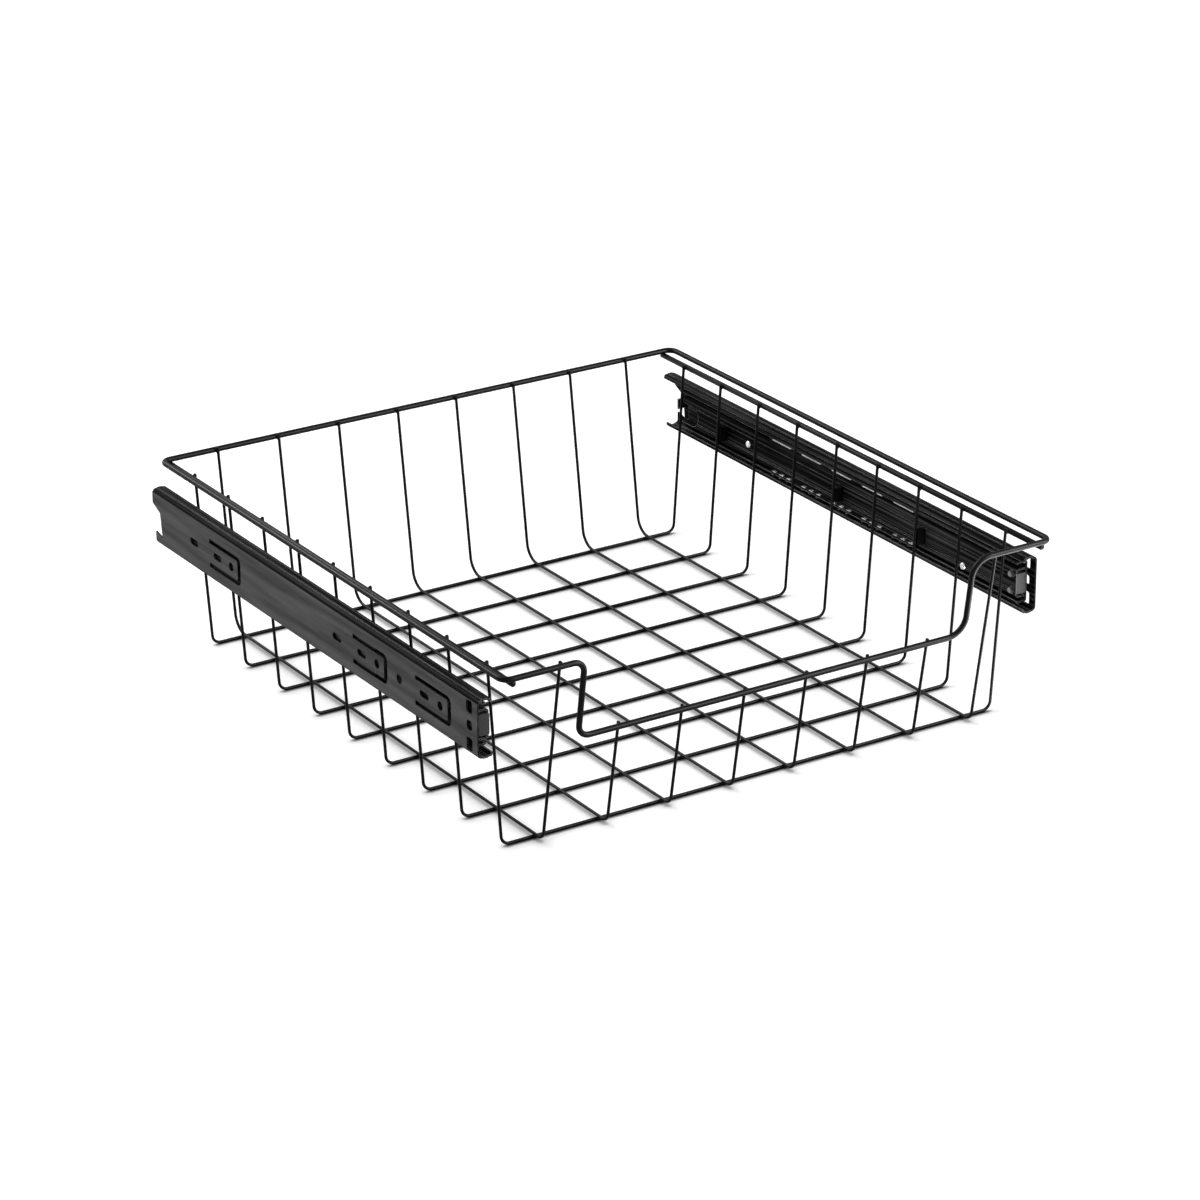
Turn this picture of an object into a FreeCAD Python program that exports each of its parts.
import FreeCAD, Part
import Sketcher
import math
import operator
import os

# Pull-out wire basket on two ball-bearing telescopic slides.
# X runs to the right, Y to the back, Z up. The origin lies on the surface that the basket stands on,
# under the middle of the rim. Lengths are in millimetres, angles in degrees.

SIZES = {
    # rim of the basket: one bent wire, dipped at the front for the hand
    "rim_wire": 4.0,
    "rim_half_width": 219.2,
    "rim_half_depth": 234.5,
    "rim_height": 136.2,
    "rim_corner": 7.0,
    "weld": 0.2,
    "dip_height": 78.6,
    "dip_setback": 9.0,
    "dip_left": 158.0,
    "dip_right": 154.0,
    "dip_bend_left": 9.0,
    "dip_bend_right": 14.0,
    "shoulder_seam": 185.0,
    # straight wires beside the rim that carry the side walls
    "side_wire_gap": 7.2,
    "side_wire_overhang": 3.5,
    # mesh of thin wires
    "mesh_wire": 2.0,
    "mesh_pitch": 50.0,
    "mesh_offset": 2.5,
    "tip_rise": 1.2,
    "side_lean": 9.2,
    "back_lean": 19.2,
    "front_lean": 23.2,
    "cross_bend": 6.5,
    "back_bend": 14.0,
    "front_bend": 7.0,
    # telescopic slide, measured inboard from the cabinet wall
    "cabinet_gap": 4.8,
    "slide_height": 42.0,
    "slide_centre": 95.0,
    "slide_back": 238.0,
    "outer_length": 450.0,
    "outer_depth": 11.4,
    "outer_sheet": 1.2,
    "outer_corner": 3.4,
    "lip_corner": 1.7,
    "bead_rise": 0.5,
    "bead_start": 4.2,
    "bead_end": 8.0,
    "lip_height": 2.4,
    "middle_back_inset": 22.5,
    "middle_front_inset": 7.5,
    "middle_gap": 1.1,
    "middle_sheet": 1.2,
    "middle_depth": 11.2,
    "middle_lip": 1.7,
    "middle_bend": 1.6,
    "drawer_back_inset": 25.5,
    "drawer_front_inset": 6.5,
    "drawer_sheet": 1.2,
    "drawer_face": 12.7,
    "drawer_flange": 5.2,
    "drawer_bend": 2.5,
    "channel_depth": 0.8,
    "channel_half": 5.5,
    "channel_slope": 1.0,
    # balls and their cages
    "ball_clearance": 0.2,
    "outer_ball": 4.0,
    "outer_ball_line": 5.9,
    "inner_ball": 3.2,
    "inner_ball_line": 8.0,
    "ball_pitch": 9.5,
    "group_pitch": 38.0,
    "balls_in_group": 3,
    "ball_groups": 5,
    "outer_cage_middle": 12.0,
    "inner_cage_middle": 5.3,
    "cage_margin": 6.0,
    "cage_sheet": 0.5,
    "cage_hole_gap": 0.2,
    "cage_bend": 0.3,
    "outer_cage_web": 1.5,
    "inner_cage_web": 3.9,
    "cage_edge": 0.7,
    # cut-outs in the web of the outer member, each placed from the nearer end
    "slot_length": 12.0,
    "slot_width": 5.0,
    "slot_from_back": 63.0,
    "slot_from_front": 182.0,
    "tongue_length": 46.0,
    "tongue_width": 21.5,
    "tongue_cut": 3.4,
    "tongue_end_cut": 4.6,
    "tongue_corner": 5.0,
    "tongue_from_back": 86.0,
    "tongue_from_front": 78.5,
    "tongue_pitch": 82.0,
    "tongue_hole": 6.6,
    "tongue_hole_back": 32.0,
    "tongue_slot_length": 11.5,
    "tongue_slot_width": 4.8,
    "tongue_slot_back": 11.7,
    "dimple_from_front": 99.0,
    "dimple_width": 7.0,
    "dimple_depth": 0.7,
    "window_from_front": 9.7,
    "window_width": 7.5,
    "window_height": 9.2,
    "window_rise": 13.2,
    "window_middle_width": 6.6,
    "window_middle_height": 6.8,
    "window_middle_rise": 0.2,
    "window_bend": 1.8,
    "notch_depth": 11.0,
    "notch_top": 10.0,
    "notch_bottom": 13.5,
    "notch_step": 2.5,
    "lobe_setback": 3.5,
    "stop_reach": 8.0,
    "stop_half": 4.0,
    # notch in the back of the drawer member, and the bright rivets in its web
    "rear_notch": 8.0,
    "rear_notch_depth": 14.5,
    "rear_notch_drop": 1.2,
    "web_rivet": 4.0,
    "web_rivet_head": 5.4,
    "web_rivet_rise": 1.6,
    "web_rivet_round": 1.4,
    "web_rivet_tail": 4.8,
    "web_rivet_tail_rise": 0.8,
    "web_rivet_from_back": 90.5,
    "web_rivet_from_front": 60.0,
    "web_rivet_drop": 6.9,
    # plastic front buffer with its two pegs
    "buffer_back": 14.0,
    "buffer_width": 6.0,
    "buffer_height": 15.0,
    "buffer_front": 1.0,
    "buffer_edge": 1.0,
    "peg": 5.0,
    "peg_rise": 6.0,
    "peg_back": 5.1,
    "peg_stand": 2.6,
    "peg_gap": 0.15,
    # lugs that join the side walls to the drawer members
    "lug_width": 5.0,
    "lug_height": 11.0,
    "lug_edge": 1.5,
    "lug_bite": 0.05,
    "rivet": 3.5,
    "rivet_head": 7.0,
    "rivet_head_height": 1.1,
    "rivet_length": 3.2,
}

CROSS_WIRES = 9
LONG_WIRES = 8
LUG_WIRES = (2, 5, 7)
SIDES = {"left": -1, "right": 1}

doc = FreeCAD.newDocument("wire_basket")
sheet = doc.addObject("Spreadsheet::Sheet", "Sizes")
for row, (name, amount) in enumerate(SIZES.items(), start=1):
    sheet.set(f"A{row}", name)
    sheet.set(f"B{row}", str(amount))
    sheet.setAlias(f"B{row}", name)
doc.recompute()


# Sizes that carry their formula

class Size:
    """A number together with the sheet formula that it comes from."""

    def __init__(self, amount, formula):
        self.amount = amount
        self.formula = formula

    def joined(self, other, sign, action, swap=False):
        other = other if isinstance(other, Size) else Size(other, repr(other))
        first, second = (other, self) if swap else (self, other)
        formula = f"({first.formula} {sign} {second.formula})"
        return Size(action(first.amount, second.amount), formula)

    def __add__(self, other):
        return self.joined(other, "+", operator.add)

    def __radd__(self, other):
        return self.joined(other, "+", operator.add, swap=True)

    def __sub__(self, other):
        return self.joined(other, "-", operator.sub)

    def __rsub__(self, other):
        return self.joined(other, "-", operator.sub, swap=True)

    def __mul__(self, other):
        return self.joined(other, "*", operator.mul)

    def __rmul__(self, other):
        return self.joined(other, "*", operator.mul, swap=True)

    def __truediv__(self, other):
        return self.joined(other, "/", operator.truediv)

    def __neg__(self):
        return self * -1


def size(name):
    return Size(float(SIZES[name]), f"Sizes.{name}")


def diagonal(across, along):
    formula = f"sqrt({across.formula}^2 + {along.formula}^2)"
    return Size(math.hypot(across.amount, along.amount), formula)


def slope_angle(across, along):
    angle = math.degrees(math.atan2(across.amount, along.amount))
    return Size(angle, f"atan({across.formula} / {along.formula})")


def bind(thing, path, value):
    """Tie one property to its formula, or set a plain number."""
    if isinstance(value, Size):
        thing.setExpression(path, value.formula)
    else:
        thing.setExpression(path, repr(value))


# Bodies, planes and sketches

def new_body(name, x=0.0, y=0.0):
    body = doc.addObject("PartDesign::Body", name)
    body.Label = name
    body.AllowCompound = True
    bind(body, "Placement.Base.x", x)
    bind(body, "Placement.Base.y", y)
    return body


def origin_part(body, role):
    return next(feature for feature in body.Origin.OriginFeatures if feature.Role == role)


def new_sketch(body, name, plane, offset=0.0):
    """A sketch on one of the body's own origin planes, moved along the plane's normal."""
    sketch = body.newObject("Sketcher::SketchObject", name)
    sketch.AttachmentSupport = [(origin_part(body, plane), "")]
    sketch.MapMode = "FlatFace"
    bind(sketch, "AttachmentOffset.Base.z", offset)
    return sketch


def amount_of(value):
    return value.amount if isinstance(value, Size) else float(value)


def pin(sketch, kind, *place, value):
    """Add a dimension to a sketch and tie it to its formula."""
    index = sketch.addConstraint(Sketcher.Constraint(kind, *place, amount_of(value)))
    if isinstance(value, Size):
        sketch.setExpression(f"Constraints[{index}]", value.formula)


def pin_point(sketch, geometry, position, point):
    pin(sketch, "DistanceX", geometry, position, value=point[0])
    pin(sketch, "DistanceY", geometry, position, value=point[1])


def vector(point):
    return FreeCAD.Vector(amount_of(point[0]), amount_of(point[1]), 0)


def add_circle(sketch, centre, diameter):
    shape = Part.Circle(vector(centre), FreeCAD.Vector(0, 0, 1), amount_of(diameter) / 2)
    circle = sketch.addGeometry(shape)
    pin(sketch, "Diameter", circle, value=diameter)
    pin_point(sketch, circle, 3, centre)


def add_bend(sketch, before, corner, after, bend):
    """The arc that turns one straight run into the next. Its two ends come back with it."""
    back = (before - corner).normalize()
    ahead = (after - corner).normalize()
    half_angle = back.getAngle(ahead) / 2
    cut_off = bend / math.tan(half_angle)
    first, last = corner + back * cut_off, corner + ahead * cut_off
    middle = corner + (back + ahead).normalize() * (bend / math.sin(half_angle) - bend)
    arc = sketch.addGeometry(Part.Arc(first, middle, last))
    near = 1 if (sketch.getPoint(arc, 1) - first).Length < 1e-6 else 2
    return arc, near, first, last


def add_runs(sketch, corners, closed=False):
    """Straight runs from corner to corner. A corner's third value is the radius that it is bent to."""
    spots = [vector(corner) for corner in corners]
    count = len(spots)
    inner = range(count) if closed else range(1, count - 1)
    arcs = {}
    for index in inner:
        if len(corners[index]) == 3:
            around = (spots[index - 1], spots[index], spots[(index + 1) % count])
            arcs[index] = add_bend(sketch, *around, amount_of(corners[index][2]))
    lines = []
    for index in range(count if closed else count - 1):
        following = (index + 1) % count
        start = arcs[index][3] if index in arcs else spots[index]
        end = arcs[following][2] if following in arcs else spots[following]
        lines.append(sketch.addGeometry(Part.LineSegment(start, end)))
    for index in inner:
        before, after = lines[index - 1], lines[index % len(lines)]
        if index not in arcs:
            sketch.addConstraint(Sketcher.Constraint("Coincident", before, 2, after, 1))
            pin_point(sketch, after, 1, corners[index])
            continue
        arc, near = arcs[index][:2]
        sketch.addConstraint(Sketcher.Constraint("Tangent", before, 2, arc, near))
        sketch.addConstraint(Sketcher.Constraint("Tangent", arc, 3 - near, after, 1))
        pin(sketch, "Radius", arc, value=corners[index][2])
        mark = sketch.addGeometry(Part.Point(spots[index]), True)
        sketch.addConstraint(Sketcher.Constraint("PointOnObject", mark, 1, before))
        sketch.addConstraint(Sketcher.Constraint("PointOnObject", mark, 1, after))
        pin_point(sketch, mark, 1, corners[index])
    if not closed:
        pin_point(sketch, lines[0], 1, corners[0])
        pin_point(sketch, lines[-1], 2, corners[-1])


def add_slot(sketch, centre, length, width):
    """A round-ended slot that lies along the sketch's first axis."""
    reach = (length - width) * 0.5
    ends = [(centre[0] - reach, centre[1]), (centre[0] + reach, centre[1])]
    radius = amount_of(width) / 2
    left, right = (vector(end) for end in ends)
    up = FreeCAD.Vector(0, radius, 0)
    side = FreeCAD.Vector(radius, 0, 0)
    cap_left = sketch.addGeometry(Part.Arc(left + up, left - side, left - up))
    cap_right = sketch.addGeometry(Part.Arc(right - up, right + side, right + up))
    bottom = sketch.addGeometry(Part.LineSegment(left - up, right - up))
    top = sketch.addGeometry(Part.LineSegment(right + up, left + up))
    for line, line_end, arc, arc_end in ((bottom, 1, cap_left, 2), (bottom, 2, cap_right, 1),
                                         (top, 1, cap_right, 2), (top, 2, cap_left, 1)):
        sketch.addConstraint(Sketcher.Constraint("Tangent", line, line_end, arc, arc_end))
    pin(sketch, "Radius", cap_left, value=width * 0.5)
    pin_point(sketch, cap_left, 3, ends[0])
    pin_point(sketch, cap_right, 3, ends[1])


def pad(body, sketch, length, name):
    feature = body.newObject("PartDesign::Pad", name)
    feature.Profile = sketch
    bind(feature, "Length", length)
    return feature


def cut_through(body, sketch, length, name):
    """Cut a sketch both ways from its plane."""
    feature = body.newObject("PartDesign::Pocket", name)
    feature.Profile = sketch
    feature.Midplane = True
    bind(feature, "Length", length)
    return feature


def spin(body, sketch, name):
    """Turn a sketch about its own first axis."""
    feature = body.newObject("PartDesign::Revolution", name)
    feature.Profile = sketch
    feature.ReferenceAxis = (sketch, ["H_Axis"])
    feature.Angle = 360
    return feature


def sweep(body, path, section, name):
    feature = body.newObject("PartDesign::AdditivePipe", name)
    feature.Profile = section
    feature.Spine = (path, [])
    return feature


def add_sphere(body, name, radius, centre):
    sphere = body.newObject("PartDesign::AdditiveSphere", name)
    sphere.AttachmentSupport = [(origin_part(body, "XY_Plane"), "")]
    sphere.MapMode = "FlatFace"
    bind(sphere, "Radius", radius)
    for axis, place in zip("xyz", centre):
        bind(sphere, f"AttachmentOffset.Base.{axis}", place)
    return sphere


pieces = []


def keep(body):
    pieces.append(body)
    return body


# Basket: the rim, the two side wires and the mesh

RIM_Z = size("rim_height")
RIM_X = size("rim_half_width")
RIM_Y = size("rim_half_depth")
SIDE_WIRE_X = RIM_X - size("side_wire_gap")
SIDE_WIRE_Z = RIM_Z - size("rim_wire") + size("weld")
INSIDE_RIM = (size("rim_wire") + size("mesh_wire")) * 0.5 - size("weld")
TIP_ABOVE = size("rim_wire") * 0.5 + size("tip_rise")
CROSS_Z = size("mesh_wire") * 0.5
LONG_Z = size("mesh_wire") * 1.5 - size("weld")
DIP_Y = size("dip_setback") - RIM_Y
CROSS_TOP_X = SIDE_WIRE_X - INSIDE_RIM
CROSS_TOP_Z = SIDE_WIRE_Z + TIP_ABOVE
FLOOR_X = CROSS_TOP_X - size("side_lean")
LONG_TOP_Y = RIM_Y - INSIDE_RIM


def make_rim():
    """One wire round the basket: a flat loop, and a front that leans back and dips."""
    body = new_body("rim_wire")
    seam = size("shoulder_seam")
    loop = new_sketch(body, "loop_path", "XY_Plane", RIM_Z)
    bend = size("rim_corner")
    turns = [(-RIM_X, -RIM_Y, bend), (-RIM_X, RIM_Y, bend), (RIM_X, RIM_Y, bend), (RIM_X, -RIM_Y, bend)]
    add_runs(loop, [(-seam, -RIM_Y), *turns, (seam, -RIM_Y)])
    section = new_sketch(body, "loop_section", "YZ_Plane", -seam)
    add_circle(section, (-RIM_Y, RIM_Z), size("rim_wire"))
    sweep(body, loop, section, "loop")

    drop = RIM_Z - size("dip_height")
    leg = diagonal(size("dip_setback"), drop)
    front = new_sketch(body, "front_path", "XZ_Plane", RIM_Y)
    across = FreeCAD.Vector(1, 0, 0)
    front.AttachmentOffset = FreeCAD.Placement(FreeCAD.Vector(0, 0, 0), FreeCAD.Rotation(across, 1))
    bind(front, "AttachmentOffset.Base.y", RIM_Z)
    bind(front, "AttachmentOffset.Base.z", RIM_Y)
    bind(front, "AttachmentOffset.Rotation.Angle", slope_angle(size("dip_setback"), drop))
    left, left_bend = -size("dip_left"), size("dip_bend_left")
    right, right_bend = size("dip_right"), size("dip_bend_right")
    left_leg = [(left, 0.0, left_bend), (left, -leg, left_bend)]
    right_leg = [(right, -leg, right_bend), (right, 0.0, right_bend)]
    add_runs(front, [(-seam, 0.0), *left_leg, *right_leg, (seam, 0.0)])
    section = new_sketch(body, "front_section", "YZ_Plane", -seam)
    add_circle(section, (-RIM_Y, RIM_Z), size("rim_wire"))
    sweep(body, front, section, "front")
    return keep(body)


def make_side_wire(side, sign):
    """A straight wire under the rim's front and back, which the side walls hang from."""
    body = new_body(f"{side}_side_wire")
    section = new_sketch(body, "section", "XZ_Plane", -RIM_Y)
    add_circle(section, (sign * SIDE_WIRE_X, SIDE_WIRE_Z), size("rim_wire"))
    pad(body, section, 2 * RIM_Y + size("side_wire_overhang"), "wire")
    return keep(body)


def cross_wire_y(number):
    """The wires are counted from the back."""
    return size("mesh_offset") + size("mesh_pitch") * ((CROSS_WIRES + 1) / 2 - number)


def make_cross_wire(number):
    """A wire that runs down the left wall, across the floor and up the right wall."""
    body = new_body(f"cross_wire_{number}", y=cross_wire_y(number))
    path = new_sketch(body, "path", "XZ_Plane")
    bend = size("cross_bend")
    floor = [(-FLOOR_X, CROSS_Z, bend), (FLOOR_X, CROSS_Z, bend)]
    add_runs(path, [(-CROSS_TOP_X, CROSS_TOP_Z), *floor, (CROSS_TOP_X, CROSS_TOP_Z)])
    section = new_sketch(body, "section", "XY_Plane", CROSS_TOP_Z)
    add_circle(section, (-CROSS_TOP_X, 0.0), size("mesh_wire"))
    sweep(body, path, section, "wire")
    return keep(body)


def make_long_wire(number):
    """A wire that runs down the back wall, along the floor and up the front."""
    steps_from_middle = number - (LONG_WIRES + 1) / 2
    body = new_body(f"long_wire_{number}", x=size("mesh_pitch") * steps_from_middle)
    top_z = RIM_Z + TIP_ABOVE
    at_shoulder = number in (1, LONG_WIRES)
    front_y = -LONG_TOP_Y if at_shoulder else DIP_Y + INSIDE_RIM
    front_z = top_z if at_shoulder else size("dip_height") + TIP_ABOVE
    path = new_sketch(body, "path", "YZ_Plane")
    back_corner = (LONG_TOP_Y - size("back_lean"), LONG_Z, size("back_bend"))
    front_corner = (size("front_lean") - LONG_TOP_Y, LONG_Z, size("front_bend"))
    add_runs(path, [(LONG_TOP_Y, top_z), back_corner, front_corner, (front_y, front_z)])
    section = new_sketch(body, "section", "XY_Plane", top_z)
    add_circle(section, (0.0, LONG_TOP_Y), size("mesh_wire"))
    sweep(body, path, section, "wire")
    return keep(body)


# Slides: depths are measured inboard from the cabinet wall, heights from the slide's centre line

WALL_X = RIM_X + size("rim_wire") * 0.5 + size("cabinet_gap")
CENTRE_Z = size("slide_centre")
HALF_HEIGHT = size("slide_height") * 0.5
CLEAR = size("ball_clearance")
OUTER_TRACK = HALF_HEIGHT - size("outer_sheet")
OUTER_BALL_UP = OUTER_TRACK - CLEAR - size("outer_ball") * 0.5
MIDDLE_TOP = OUTER_BALL_UP - size("outer_ball") * 0.5 - CLEAR
MIDDLE_TRACK = MIDDLE_TOP - size("middle_sheet")
INNER_BALL_UP = MIDDLE_TRACK - CLEAR - size("inner_ball") * 0.5
DRAWER_TOP = INNER_BALL_UP - size("inner_ball") * 0.5 - CLEAR
MIDDLE_WEB = size("outer_sheet") + size("middle_gap")
OUTER_BACK = size("slide_back")
OUTER_FRONT = OUTER_BACK - size("outer_length")
MIDDLE_BACK = OUTER_BACK - size("middle_back_inset")
MIDDLE_FRONT = OUTER_FRONT + size("middle_front_inset")
DRAWER_BACK = OUTER_BACK - size("drawer_back_inset")
DRAWER_FRONT = OUTER_FRONT + size("drawer_front_inset")
CHANNEL_FACE = size("drawer_face") - size("channel_depth")
TONGUE_STARTS = (OUTER_BACK - size("tongue_from_back"),
                 OUTER_FRONT + size("tongue_from_front") + size("tongue_pitch"),
                 OUTER_FRONT + size("tongue_from_front"))
WEB_RIVETS = {"back": (DRAWER_BACK - size("web_rivet_from_back"), CENTRE_Z, CHANNEL_FACE),
              "front": (DRAWER_FRONT + size("web_rivet_from_front"), CENTRE_Z - size("web_rivet_drop"),
                        size("drawer_face"))}
PEG_Y = DRAWER_FRONT + size("peg_back")


def depth_point(sign, depth, height, *bend):
    """A point of a slide's cross-section, in the XZ plane."""
    return (sign * (WALL_X - depth), CENTRE_Z + height, *bend)


def mirrored(upper):
    """The upper half of an outline about the slide's centre line, and its mirror image below."""
    return upper + [(depth, -1 * height, *bend) for depth, height, *bend in reversed(upper)]


def section_points(sign, upper):
    return [depth_point(sign, *corner) for corner in mirrored(upper)]


def outer_section(sign):
    """A deep C with a raised ball track along each flange, and a lip on each edge."""
    thick = size("outer_sheet")
    shoulder = HALF_HEIGHT - size("bead_rise")
    web_bend, lip_bend, rise = size("outer_corner"), size("lip_corner"), size("bead_rise")
    start, end, depth = size("bead_start"), size("bead_end"), size("outer_depth")
    tip = OUTER_TRACK - size("lip_height")
    outside = [(0.0, shoulder, web_bend), (start - rise, shoulder), (start, HALF_HEIGHT), (end, HALF_HEIGHT),
               (end + rise, shoulder), (depth, shoulder, lip_bend), (depth, tip)]
    under, inner = shoulder - thick, depth - thick
    inside = [(inner, tip), (inner, under, lip_bend - thick), (end, under), (end - rise, OUTER_TRACK),
              (start + rise, OUTER_TRACK), (start, under), (thick, under, web_bend - thick)]
    return section_points(sign, outside + inside)


def middle_section(sign):
    """A plain C with a lip on each edge: the outer balls run above its flanges, the inner ones below."""
    thick, bend, depth = size("middle_sheet"), size("middle_bend"), size("middle_depth")
    tip = MIDDLE_TOP - size("middle_lip")
    outside = [(MIDDLE_WEB, MIDDLE_TOP, bend), (depth, MIDDLE_TOP, bend), (depth, tip)]
    inside = [(depth - thick, tip), (depth - thick, MIDDLE_TRACK, bend - thick),
              (MIDDLE_WEB + thick, MIDDLE_TRACK, bend - thick)]
    return section_points(sign, outside + inside)


def drawer_section(sign):
    """A shallow C that opens towards the wall, with a channel pressed along its web."""
    thick, bend, face = size("drawer_sheet"), size("drawer_bend"), size("drawer_face")
    edge, track = size("drawer_flange"), DRAWER_TOP - thick
    narrow, wide = size("channel_half"), size("channel_half") + size("channel_slope")
    outside = [(CHANNEL_FACE, narrow), (face, wide), (face, DRAWER_TOP, bend), (edge, DRAWER_TOP)]
    inside = [(edge, track), (face - thick, track, bend - thick), (face - thick, wide),
              (CHANNEL_FACE - thick, narrow)]
    return section_points(sign, outside + inside)


def make_profile(name, points, back, front):
    """A rolled steel profile that runs forward from its back end to its front end."""
    body = new_body(name)
    section = new_sketch(body, "section", "XZ_Plane", -back)
    add_runs(section, points, closed=True)
    pad(body, section, back - front, "profile")
    return body


def web_sketch(body, name, sign, depth):
    """A sketch on the slide's web: its first axis is Y and its second is Z."""
    return new_sketch(body, name, "YZ_Plane", sign * (WALL_X - depth))


def add_tongue_cut(sketch, start):
    """A U-shaped shear cut that leaves a tongue, open towards the back."""
    end = start - size("tongue_length")
    half, cut, corner = size("tongue_width") * 0.5, size("tongue_cut"), size("tongue_corner")
    outside = [(start, half), (end, half, corner), (end, -half, corner), (start, -half)]
    inner, bend, tip = half - cut, corner - cut, end + size("tongue_end_cut")
    inside = [(start, -inner), (tip, -inner, bend), (tip, inner, bend), (start, inner)]
    add_web_outline(sketch, outside + inside)


def add_web_outline(sketch, corners):
    """A closed outline on a web, with its heights taken from the slide's centre line."""
    add_runs(sketch, [(along, CENTRE_Z + height, *bend) for along, height, *bend in corners], closed=True)


def add_window(sketch, middle, rise, width, height):
    low, high = middle - width * 0.5, middle + width * 0.5
    bottom, top = rise - height * 0.5, rise + height * 0.5
    bend = size("window_bend")
    add_web_outline(sketch, [(low, bottom, bend), (high, bottom, bend), (high, top, bend), (low, top, bend)])


def make_outer_member(side, sign):
    """The cabinet member: a deep C with screw slots, sprung tongues and a notched back end."""
    section = outer_section(sign)
    body = make_profile(f"{side}_outer_member", section, OUTER_BACK, OUTER_FRONT)
    web_cut = size("outer_sheet") * 2.5

    screws = web_sketch(body, "screw_slots", sign, 0.0)
    for along in (OUTER_BACK - size("slot_from_back"), OUTER_FRONT + size("slot_from_front")):
        add_slot(screws, (along, CENTRE_Z), size("slot_length"), size("slot_width"))
    cut_through(body, screws, web_cut, "screw_slot_cut")

    tongues = web_sketch(body, "tongues", sign, 0.0)
    for start in TONGUE_STARTS:
        add_tongue_cut(tongues, start)
    cut_through(body, tongues, web_cut, "tongue_cuts")

    holes = web_sketch(body, "tongue_holes", sign, 0.0)
    for start in TONGUE_STARTS:
        add_circle(holes, (start - size("tongue_hole_back"), CENTRE_Z), size("tongue_hole"))
        slot_at = (start - size("tongue_slot_back"), CENTRE_Z)
        add_slot(holes, slot_at, size("tongue_slot_length"), size("tongue_slot_width"))
    cut_through(body, holes, web_cut, "tongue_hole_cuts")

    dimple = web_sketch(body, "dimple", sign, 0.0)
    add_circle(dimple, (OUTER_FRONT + size("dimple_from_front"), CENTRE_Z), size("dimple_width"))
    cut_through(body, dimple, size("dimple_depth") * 2, "dimple_cut")

    windows = web_sketch(body, "windows", sign, 0.0)
    middle = OUTER_FRONT + size("window_from_front")
    width, tall = size("window_width"), size("window_height")
    add_window(windows, middle, size("window_rise"), width, tall)
    add_window(windows, middle, -size("window_rise"), width, tall)
    narrow, short = size("window_middle_width"), size("window_middle_height")
    add_window(windows, middle, size("window_middle_rise"), narrow, short)
    cut_through(body, windows, web_cut, "window_cuts")

    notch = web_sketch(body, "notch", sign, 0.0)
    back, step = OUTER_BACK, size("notch_step")
    beyond, floor, lobe = back + step, back - size("notch_depth"), back - size("lobe_setback")
    below = -(HALF_HEIGHT + step)
    add_web_outline(notch, [(beyond, size("notch_top")), (back, size("notch_top"), step),
                            (floor, size("notch_top") - step * 2), (floor - step, -size("notch_bottom")),
                            (lobe, step - size("notch_bottom")), (lobe, below), (beyond, below)])
    cut_through(body, notch, size("outer_depth") * 3, "notch_cut")

    stop_back = floor - step
    stop = new_sketch(body, "stop", "XZ_Plane", -stop_back)
    root, reach, half = size("outer_sheet") * 0.5, size("stop_reach"), size("stop_half")
    tab = [(root, half), (reach, half), (reach, -half), (root, -half)]
    add_runs(stop, [depth_point(sign, *corner) for corner in tab], closed=True)
    pad(body, stop, size("outer_sheet"), "back_stop")
    return keep(body)


def make_middle_member(side, sign):
    """The intermediate member, nested in the outer one on the outer balls."""
    return keep(make_profile(f"{side}_middle_member", middle_section(sign), MIDDLE_BACK, MIDDLE_FRONT))


def make_drawer_member(side, sign):
    """The inner member, which carries the basket."""
    section = drawer_section(sign)
    body = make_profile(f"{side}_drawer_member", section, DRAWER_BACK, DRAWER_FRONT)
    face = size("drawer_face")
    through = face * 0.5
    notch = web_sketch(body, "rear_notch", sign, face)
    radius = size("rear_notch")
    middle = (DRAWER_BACK - size("rear_notch_depth") + radius, CENTRE_Z - size("rear_notch_drop"))
    add_slot(notch, middle, radius * 4, radius * 2)
    cut_through(body, notch, through, "rear_notch_cut")
    holes = web_sketch(body, "holes", sign, face)
    for along, height, _ in WEB_RIVETS.values():
        add_circle(holes, (along, height), size("web_rivet"))
    cut_through(body, holes, through, "hole_cuts")
    pegs = web_sketch(body, "peg_holes", sign, face)
    peg_hole = size("peg") + size("peg_gap") * 2
    for rise in (size("peg_rise"), -size("peg_rise")):
        add_circle(pegs, (PEG_Y, CENTRE_Z + rise), peg_hole)
    cut_through(body, pegs, through, "peg_hole_cuts")
    rivets = web_sketch(body, "rivet_holes", sign, face)
    for wire in LUG_WIRES:
        add_circle(rivets, (cross_wire_y(wire), CENTRE_Z), size("rivet"))
    cut_through(body, rivets, through, "rivet_hole_cuts")
    return keep(body)


# Balls and cages

def ball_row_start(middle):
    groups_span = size("group_pitch") * (size("ball_groups") - 1)
    trio_span = size("ball_pitch") * (size("balls_in_group") - 1)
    return middle - (groups_span + trio_span) * 0.5


def repeat(body, number, step, name):
    """A row of copies along Y for a MultiTransform."""
    row = body.newObject("PartDesign::LinearPattern", name)
    row.Direction = (origin_part(body, "Y_Axis"), [""])
    row.Mode = "Spacing"
    bind(row, "Occurrences", number)
    bind(row, "Offset", step)
    return row


def repeat_balls(body, first, name):
    """Copy one feature to every ball place: groups along both rows, above and below."""
    copies = body.newObject("PartDesign::MultiTransform", name)
    trio = repeat(body, size("balls_in_group"), size("ball_pitch"), f"{name}_trio")
    groups = repeat(body, size("ball_groups"), size("group_pitch"), f"{name}_groups")
    below = body.newObject("PartDesign::Mirrored", f"{name}_below")
    below.MirrorPlane = (origin_part(body, "XY_Plane"), [""])
    copies.Originals = [first]
    copies.Transformations = [trio, groups, below]
    body.Tip = copies
    return copies


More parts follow.
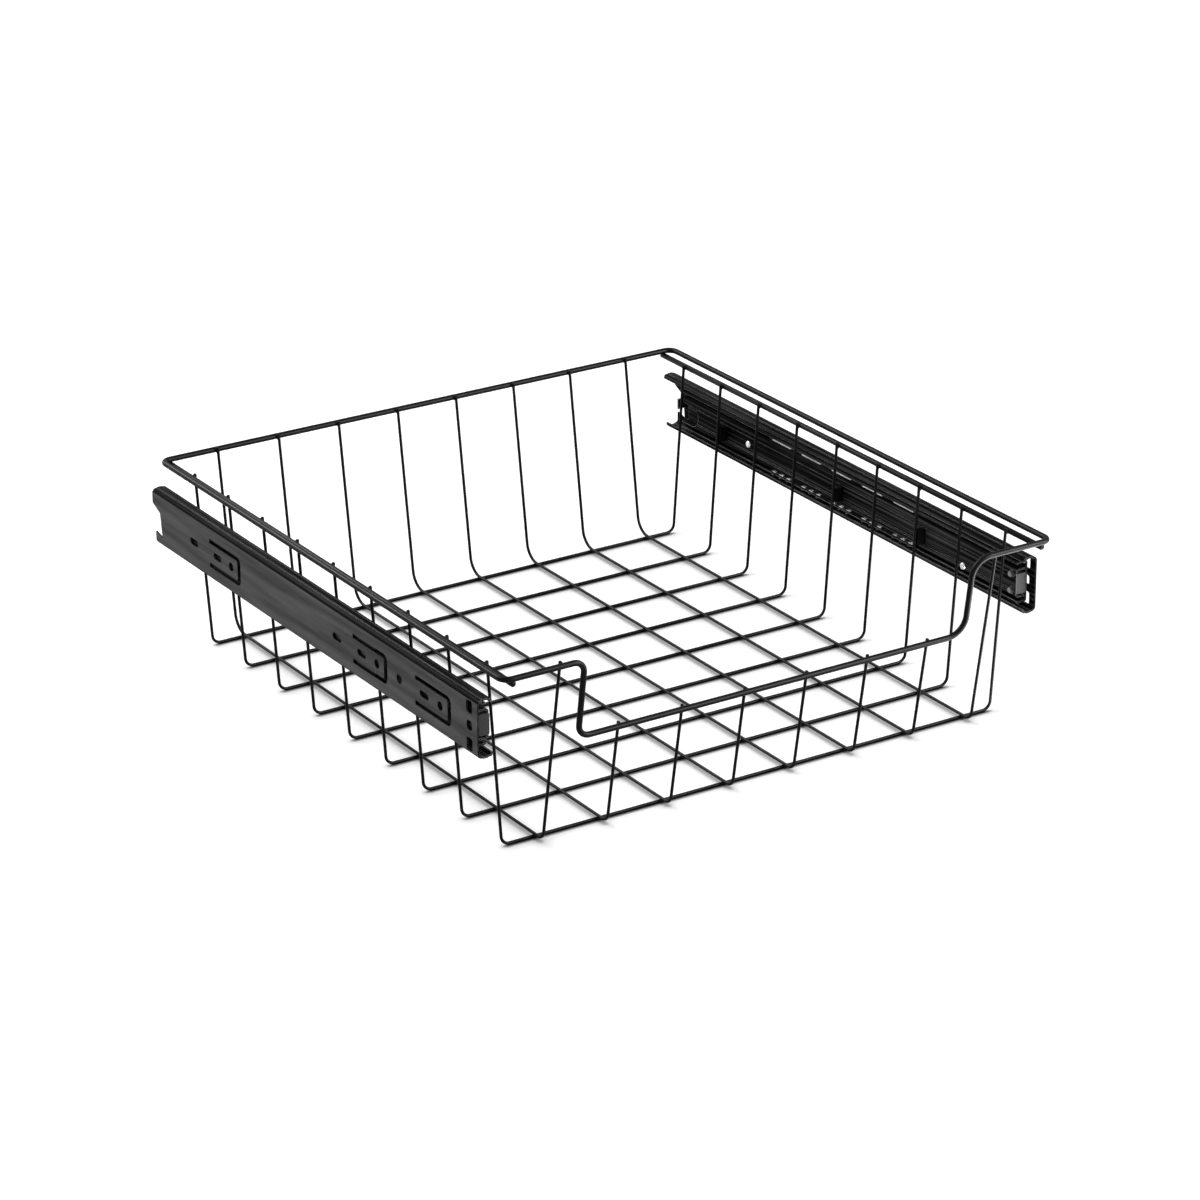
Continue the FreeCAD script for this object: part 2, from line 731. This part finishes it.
def lift_to_slide(body):
    """The cages and balls are drawn about the slide's centre line and lifted to it."""
    bind(body, "Placement.Base.z", CENTRE_Z)


def make_balls(side, sign, layer, ball, line, up, middle):
    body = new_body(f"{side}_{layer}_balls")
    lift_to_slide(body)
    first = add_sphere(body, "ball", ball * 0.5, (sign * (WALL_X - line), ball_row_start(middle), up))
    repeat_balls(body, first, "all_balls")
    return keep(body)


def make_cage(side, sign, layer, ball, line, up, middle, web):
    """A thin pressed cage: a web beside the members and two strips that the balls sit in."""
    body = new_body(f"{side}_{layer}_cage")
    lift_to_slide(body)
    start = ball_row_start(middle) - size("cage_margin")
    length = (middle - start) * 2
    thick = size("cage_sheet")
    hole = ball + size("cage_hole_gap") * 2
    reach = line + hole * 0.5 + size("cage_edge")
    section = new_sketch(body, "section", "XZ_Plane", -(start + length))
    top, under, bend = up + thick * 0.5, up - thick * 0.5, size("cage_bend")
    upper = [(web, top, bend + thick), (reach, top), (reach, under), (web + thick, under, bend)]
    outline = [(sign * (WALL_X - depth), height, *bends) for depth, height, *bends in mirrored(upper)]
    add_runs(section, outline, closed=True)
    pad(body, section, length, "strip")
    pocket = new_sketch(body, "ball_hole", "XY_Plane", up)
    add_circle(pocket, (sign * (WALL_X - line), ball_row_start(middle)), hole)
    first = cut_through(body, pocket, thick * 4, "ball_hole_cut")
    repeat_balls(body, first, "ball_holes")
    return keep(body)


def make_ball_layers(side, sign):
    outer = (size("outer_ball"), size("outer_ball_line"), OUTER_BALL_UP, size("outer_cage_middle"))
    inner = (size("inner_ball"), size("inner_ball_line"), INNER_BALL_UP, size("inner_cage_middle"))
    make_cage(side, sign, "outer", *outer, size("outer_cage_web"))
    make_cage(side, sign, "inner", *inner, size("inner_cage_web"))
    make_balls(side, sign, "outer", *outer)
    make_balls(side, sign, "inner", *inner)


# Front buffer, and the lugs between wall and slide

def make_buffer(side, sign):
    """A grey plastic block in the front of the drawer member, with a cap over the web's edge and two pegs."""
    body = new_body(f"{side}_front_buffer")
    behind_web = CHANNEL_FACE - size("drawer_sheet")
    block = new_sketch(body, "block", "XZ_Plane", -(DRAWER_FRONT + size("buffer_back")))
    half = size("buffer_height") * 0.5
    edge = size("buffer_edge")
    far = behind_web - size("buffer_width")
    add_runs(block, section_points(sign, [(behind_web, half, edge), (far, half, edge)]), closed=True)
    pad(body, block, size("buffer_back") + size("buffer_front"), "block_pad")
    cap = new_sketch(body, "cap", "XZ_Plane", -DRAWER_FRONT)
    face = size("drawer_face")
    add_runs(cap, section_points(sign, [(face, half, edge), (far, half, edge)]), closed=True)
    pad(body, cap, size("buffer_front"), "cap_pad")
    root = behind_web - edge
    dome_depth = face + size("peg_stand") - size("peg") * 0.5
    for label, direction in (("upper", 1), ("lower", -1)):
        rise = CENTRE_Z + direction * size("peg_rise")
        circle = web_sketch(body, f"{label}_peg", sign, root)
        add_circle(circle, (PEG_Y, rise), size("peg"))
        shank = pad(body, circle, dome_depth - root, f"{label}_shank")
        shank.Reversed = sign > 0
        add_sphere(body, f"{label}_dome", size("peg") * 0.5, (sign * (WALL_X - dome_depth), PEG_Y, rise))
    return keep(body)


def wall_wire_x(height):
    """How far a wall's wires stand from the middle, at a height above the slide's centre line."""
    climbed = (CENTRE_Z + height - CROSS_Z) / (CROSS_TOP_Z - CROSS_Z)
    return FLOOR_X + (CROSS_TOP_X - FLOOR_X) * climbed


def make_lugs(side, sign):
    """Small steel lugs, riveted to the drawer member, that the wall's wires are welded to."""
    body = new_body(f"{side}_basket_lugs")
    slide_x = WALL_X - CHANNEL_FACE
    half, foot, edge = size("lug_height") * 0.5, size("channel_half") - size("weld"), size("lug_edge")
    shoulder_x = slide_x - size("channel_depth") - edge
    sunk = size("mesh_wire") * 0.5 - size("lug_bite")
    neck_x = shoulder_x + edge
    upper = [(slide_x, foot), (neck_x, foot), (shoulder_x, half), (wall_wire_x(half) + sunk, half)]
    lower = [(wall_wire_x(-half) + sunk, -half), (shoulder_x, -half), (neck_x, -foot), (slide_x, -foot)]
    for wire in LUG_WIRES:
        shape = new_sketch(body, f"lug_{wire}", "XZ_Plane", -(cross_wire_y(wire) + size("lug_width") * 0.5))
        add_runs(shape, [(sign * x, CENTRE_Z + height) for x, height in upper + lower], closed=True)
        pad(body, shape, size("lug_width"), f"lug_pad_{wire}")
    hole = new_sketch(body, "rivet_holes", "YZ_Plane", sign * slide_x)
    for wire in LUG_WIRES:
        add_circle(hole, (cross_wire_y(wire), CENTRE_Z), size("rivet"))
    cut_through(body, hole, size("rivet_length") * 2, "rivet_hole_cuts")
    return keep(body)


def make_lug_rivets(side, sign):
    """The rivets that hold the lugs, with their heads inside the drawer member."""
    body = new_body(f"{side}_lug_rivets")
    head_face = CHANNEL_FACE - size("drawer_sheet")
    heads = web_sketch(body, "heads", sign, head_face)
    shanks = web_sketch(body, "shanks", sign, head_face)
    for wire in LUG_WIRES:
        add_circle(heads, (cross_wire_y(wire), CENTRE_Z), size("rivet_head"))
        add_circle(shanks, (cross_wire_y(wire), CENTRE_Z), size("rivet"))
    head = pad(body, heads, size("rivet_head_height"), "head_pad")
    head.Reversed = sign < 0
    shank = pad(body, shanks, size("drawer_sheet") + size("rivet_length"), "shank_pad")
    shank.Reversed = sign > 0
    return keep(body)


def make_web_rivets(side, sign):
    """Two bright rivets with domed heads, which hold what is inside the drawer member."""
    body = new_body(f"{side}_web_rivets")
    inner_face = CHANNEL_FACE - size("drawer_sheet")
    end = inner_face - size("web_rivet_tail_rise")
    shank, tail, head = (size(name) * 0.5 for name in ("web_rivet", "web_rivet_tail", "web_rivet_head"))
    for label, (along, height, seat) in WEB_RIVETS.items():
        profile = new_sketch(body, f"{label}_profile", "XZ_Plane", -along)
        bind(profile, "AttachmentOffset.Base.y", height)
        top = seat + size("web_rivet_rise")
        outline = [(end, 0.0), (end, tail), (inner_face, tail), (inner_face, shank), (seat, shank),
                   (seat, head), (top, head, size("web_rivet_round")), (top, 0.0)]
        add_runs(profile, [(sign * (WALL_X - depth), up, *bend) for depth, up, *bend in outline], closed=True)
        spin(body, profile, f"{label}_rivet")
    return keep(body)


make_rim()
for number in range(1, CROSS_WIRES + 1):
    make_cross_wire(number)
for number in range(1, LONG_WIRES + 1):
    make_long_wire(number)
for side, sign in SIDES.items():
    make_side_wire(side, sign)
    make_outer_member(side, sign)
    make_middle_member(side, sign)
    make_drawer_member(side, sign)
    make_ball_layers(side, sign)
    make_buffer(side, sign)
    make_lugs(side, sign)
    make_lug_rivets(side, sign)
    make_web_rivets(side, sign)

doc.recompute()

# Nothing is written unless every feature and every piece came out whole
for feature in doc.Objects:
    if "Invalid" in feature.State or "Error" in feature.State:
        raise RuntimeError(f"{feature.Name} of {feature.Label} did not build")
for piece in pieces:
    if piece.Shape.isNull() or not piece.Shape.isValid():
        raise RuntimeError(f"{piece.Label} is not a valid solid")

os.makedirs("parts", exist_ok=True)
for piece in pieces:
    piece.Shape.exportStep(f"parts/{piece.Label}.step")
    box = piece.Shape.BoundBox
    extents = ", ".join(f"{low:.1f} to {high:.1f}" for low, high in (
        (box.XMin, box.XMax), (box.YMin, box.YMax), (box.ZMin, box.ZMax)))
    print(f"{piece.Label:20s} {len(piece.Shape.Solids):3d} solids {piece.Shape.Volume:9.1f} mm3  {extents}")
